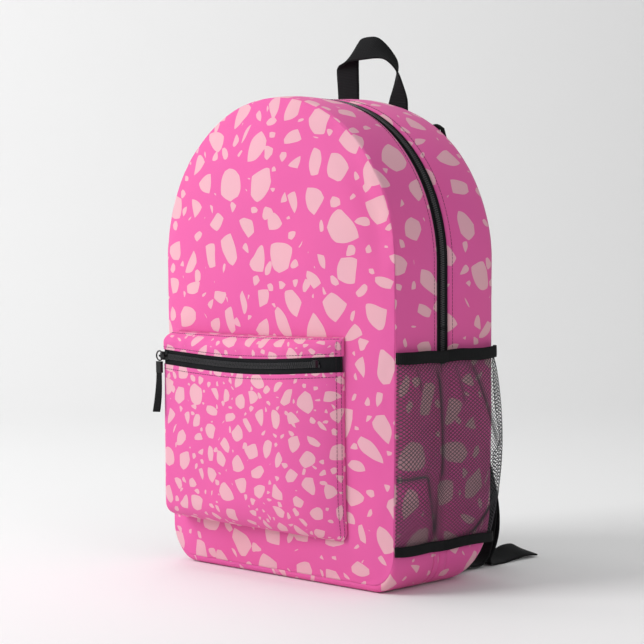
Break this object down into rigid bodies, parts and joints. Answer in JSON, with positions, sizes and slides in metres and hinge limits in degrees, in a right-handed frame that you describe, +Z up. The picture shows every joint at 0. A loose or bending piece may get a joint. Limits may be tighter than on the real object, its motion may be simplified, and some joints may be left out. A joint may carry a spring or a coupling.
{
  "type": "school backpack",
  "caption": "Arch-topped school backpack with a zipped front that folds open, front pocket, net side pockets and padded straps.",
  "frame": {"origin": "middle of the flat underside that the bag stands on", "axes": "+X across the bag to its left-hand wearer side, -Y is the front with the pocket, +Z up"},
  "size_m": [0.341, 0.2852, 0.527],
  "materials": {
    "printed_fabric": "printed woven polyester, pink with pale pink pebble shapes",
    "printed_fabric_small": "the same polyester with a smaller pebble print",
    "black_padding": "black woven polyester over foam",
    "air_mesh": "black spacer mesh",
    "foam": "grey open cell foam",
    "lining": "thin black woven lining",
    "board": "black plastic board",
    "black_net": "black knitted net",
    "black_binding": "black elastic binding",
    "black_webbing": "black ribbed webbing",
    "black_ribbon": "narrow black woven ribbon",
    "zip_tape": "black knitted zip tape",
    "zip_coil": "black nylon coil",
    "black_metal": "black enamelled zinc",
    "black_plastic": "black moulded plastic"
  },
  "bodies": {
    "bag_body": {"back_foam_pads": "foam", "back_mesh_cover": "air_mesh", "back_panel": "black_padding", "base_board": "board", "base_panel": "printed_fabric", "handle_anchors": "black_webbing", "laptop_sleeve": "lining", "left_side_panel": "printed_fabric", "lower_front_panel": "printed_fabric", "main_lining": "lining", "mesh_pocket_elastic_left": "black_binding", "mesh_pocket_elastic_right": "black_binding", "mesh_pocket_hem_left": "black_binding", "mesh_pocket_hem_right": "black_binding", "mesh_pocket_left": "black_net", "mesh_pocket_right": "black_net", "pocket_front_panel": "printed_fabric_small", "pocket_gusset": "printed_fabric_small", "pocket_top_strip": "printed_fabric_small", "pocket_zip_stop": "zip_coil", "pocket_zip_tape": "zip_tape", "pocket_zip_teeth": "zip_coil", "rear_gusset": "printed_fabric", "rear_zip_tape": "zip_tape", "rear_zip_teeth": "zip_coil", "right_side_panel": "printed_fabric", "sleeve_binding": "black_webbing", "sleeve_closure_strap": "black_webbing", "strap_anchor_tab_left": "black_webbing", "strap_anchor_tab_right": "black_webbing", "strap_top_tabs": "black_webbing", "zip_end_tapes": "zip_tape"},
    "front_flap": {"upper_front_panel": "printed_fabric", "front_gusset": "printed_fabric", "front_zip_tape": "zip_tape", "front_zip_teeth": "zip_coil", "flap_lining": "lining"},
    "upper_slider": {"main_slider_upper": "black_metal"},
    "lower_slider": {"main_slider_lower": "black_metal"},
    "upper_pull": {"ring_upper": "black_metal", "clip_upper": "black_plastic", "ribbon_upper": "black_ribbon"},
    "lower_pull": {"ring_lower": "black_metal", "clip_lower": "black_plastic", "ribbon_lower": "black_ribbon"},
    "pocket_zip_slider": {"pocket_slider": "black_metal"},
    "pocket_pull": {"ring_pocket": "black_metal", "clip_pocket": "black_plastic", "ribbon_pocket": "black_ribbon"},
    "strap_left": {"shoulder_pad_left": "black_padding", "ladder_lock_left": "black_plastic", "lower_webbing_left": "black_webbing", "strap_tail_left": "black_webbing"},
    "strap_right": {"shoulder_pad_right": "black_padding", "ladder_lock_right": "black_plastic", "lower_webbing_right": "black_webbing", "strap_tail_right": "black_webbing"},
    "top_handle": {"grab_handle": "black_webbing"}
  },
  "joints": [
    {"name": "flap_hinge", "type": "hinge", "parent": "bag_body", "child": "front_flap", "pos_m": [0, -0.0675, 0.24], "axis": [1, 0, 0], "range_deg": [0, 95]},
    {"name": "upper_slider_travel", "type": "hinge", "parent": "bag_body", "child": "upper_slider", "pos_m": [0, -0.004, 0.3025], "axis": [0, 1, 0], "range_deg": [0, 177]},
    {"name": "lower_slider_travel", "type": "slide", "parent": "bag_body", "child": "lower_slider", "axis": [0, 0, -1], "range_m": [0, 0.03]},
    {"name": "upper_pull_swing", "type": "hinge", "parent": "upper_slider", "child": "upper_pull", "pos_m": [-0.16142, -0.004, 0.3102], "axis": [0, 1, 0], "range_deg": [0, 165]},
    {"name": "lower_pull_swing", "type": "hinge", "parent": "lower_slider", "child": "lower_pull", "pos_m": [-0.1616, -0.004, 0.295], "axis": [0, 1, 0], "range_deg": [0, 90]},
    {"name": "pocket_slider_travel", "type": "slide", "parent": "bag_body", "child": "pocket_zip_slider", "axis": [1, 0, 0], "range_m": [0, 0.2]},
    {"name": "pocket_pull_swing", "type": "hinge", "parent": "pocket_zip_slider", "child": "pocket_pull", "pos_m": [-0.125, -0.1034, 0.211], "axis": [0, 1, 0], "range_deg": [-30, 30]},
    {"name": "strap_left_swing", "type": "hinge", "parent": "bag_body", "child": "strap_left", "pos_m": [-0.081, 0.08, 0.429], "axis": [0.085, 0, 0.9964], "range_deg": [0, 14]},
    {"name": "strap_right_swing", "type": "hinge", "parent": "bag_body", "child": "strap_right", "pos_m": [0.081, 0.08, 0.429], "axis": [0.085, 0, -0.9964], "range_deg": [0, 14]},
    {"name": "handle_tilt", "type": "hinge", "parent": "bag_body", "child": "top_handle", "pos_m": [0.003, 0.0691, 0.463], "axis": [1, 0, 0], "range_deg": [-30, 70], "stiffness_Nm_per_rad": 0.05}
  ]
}
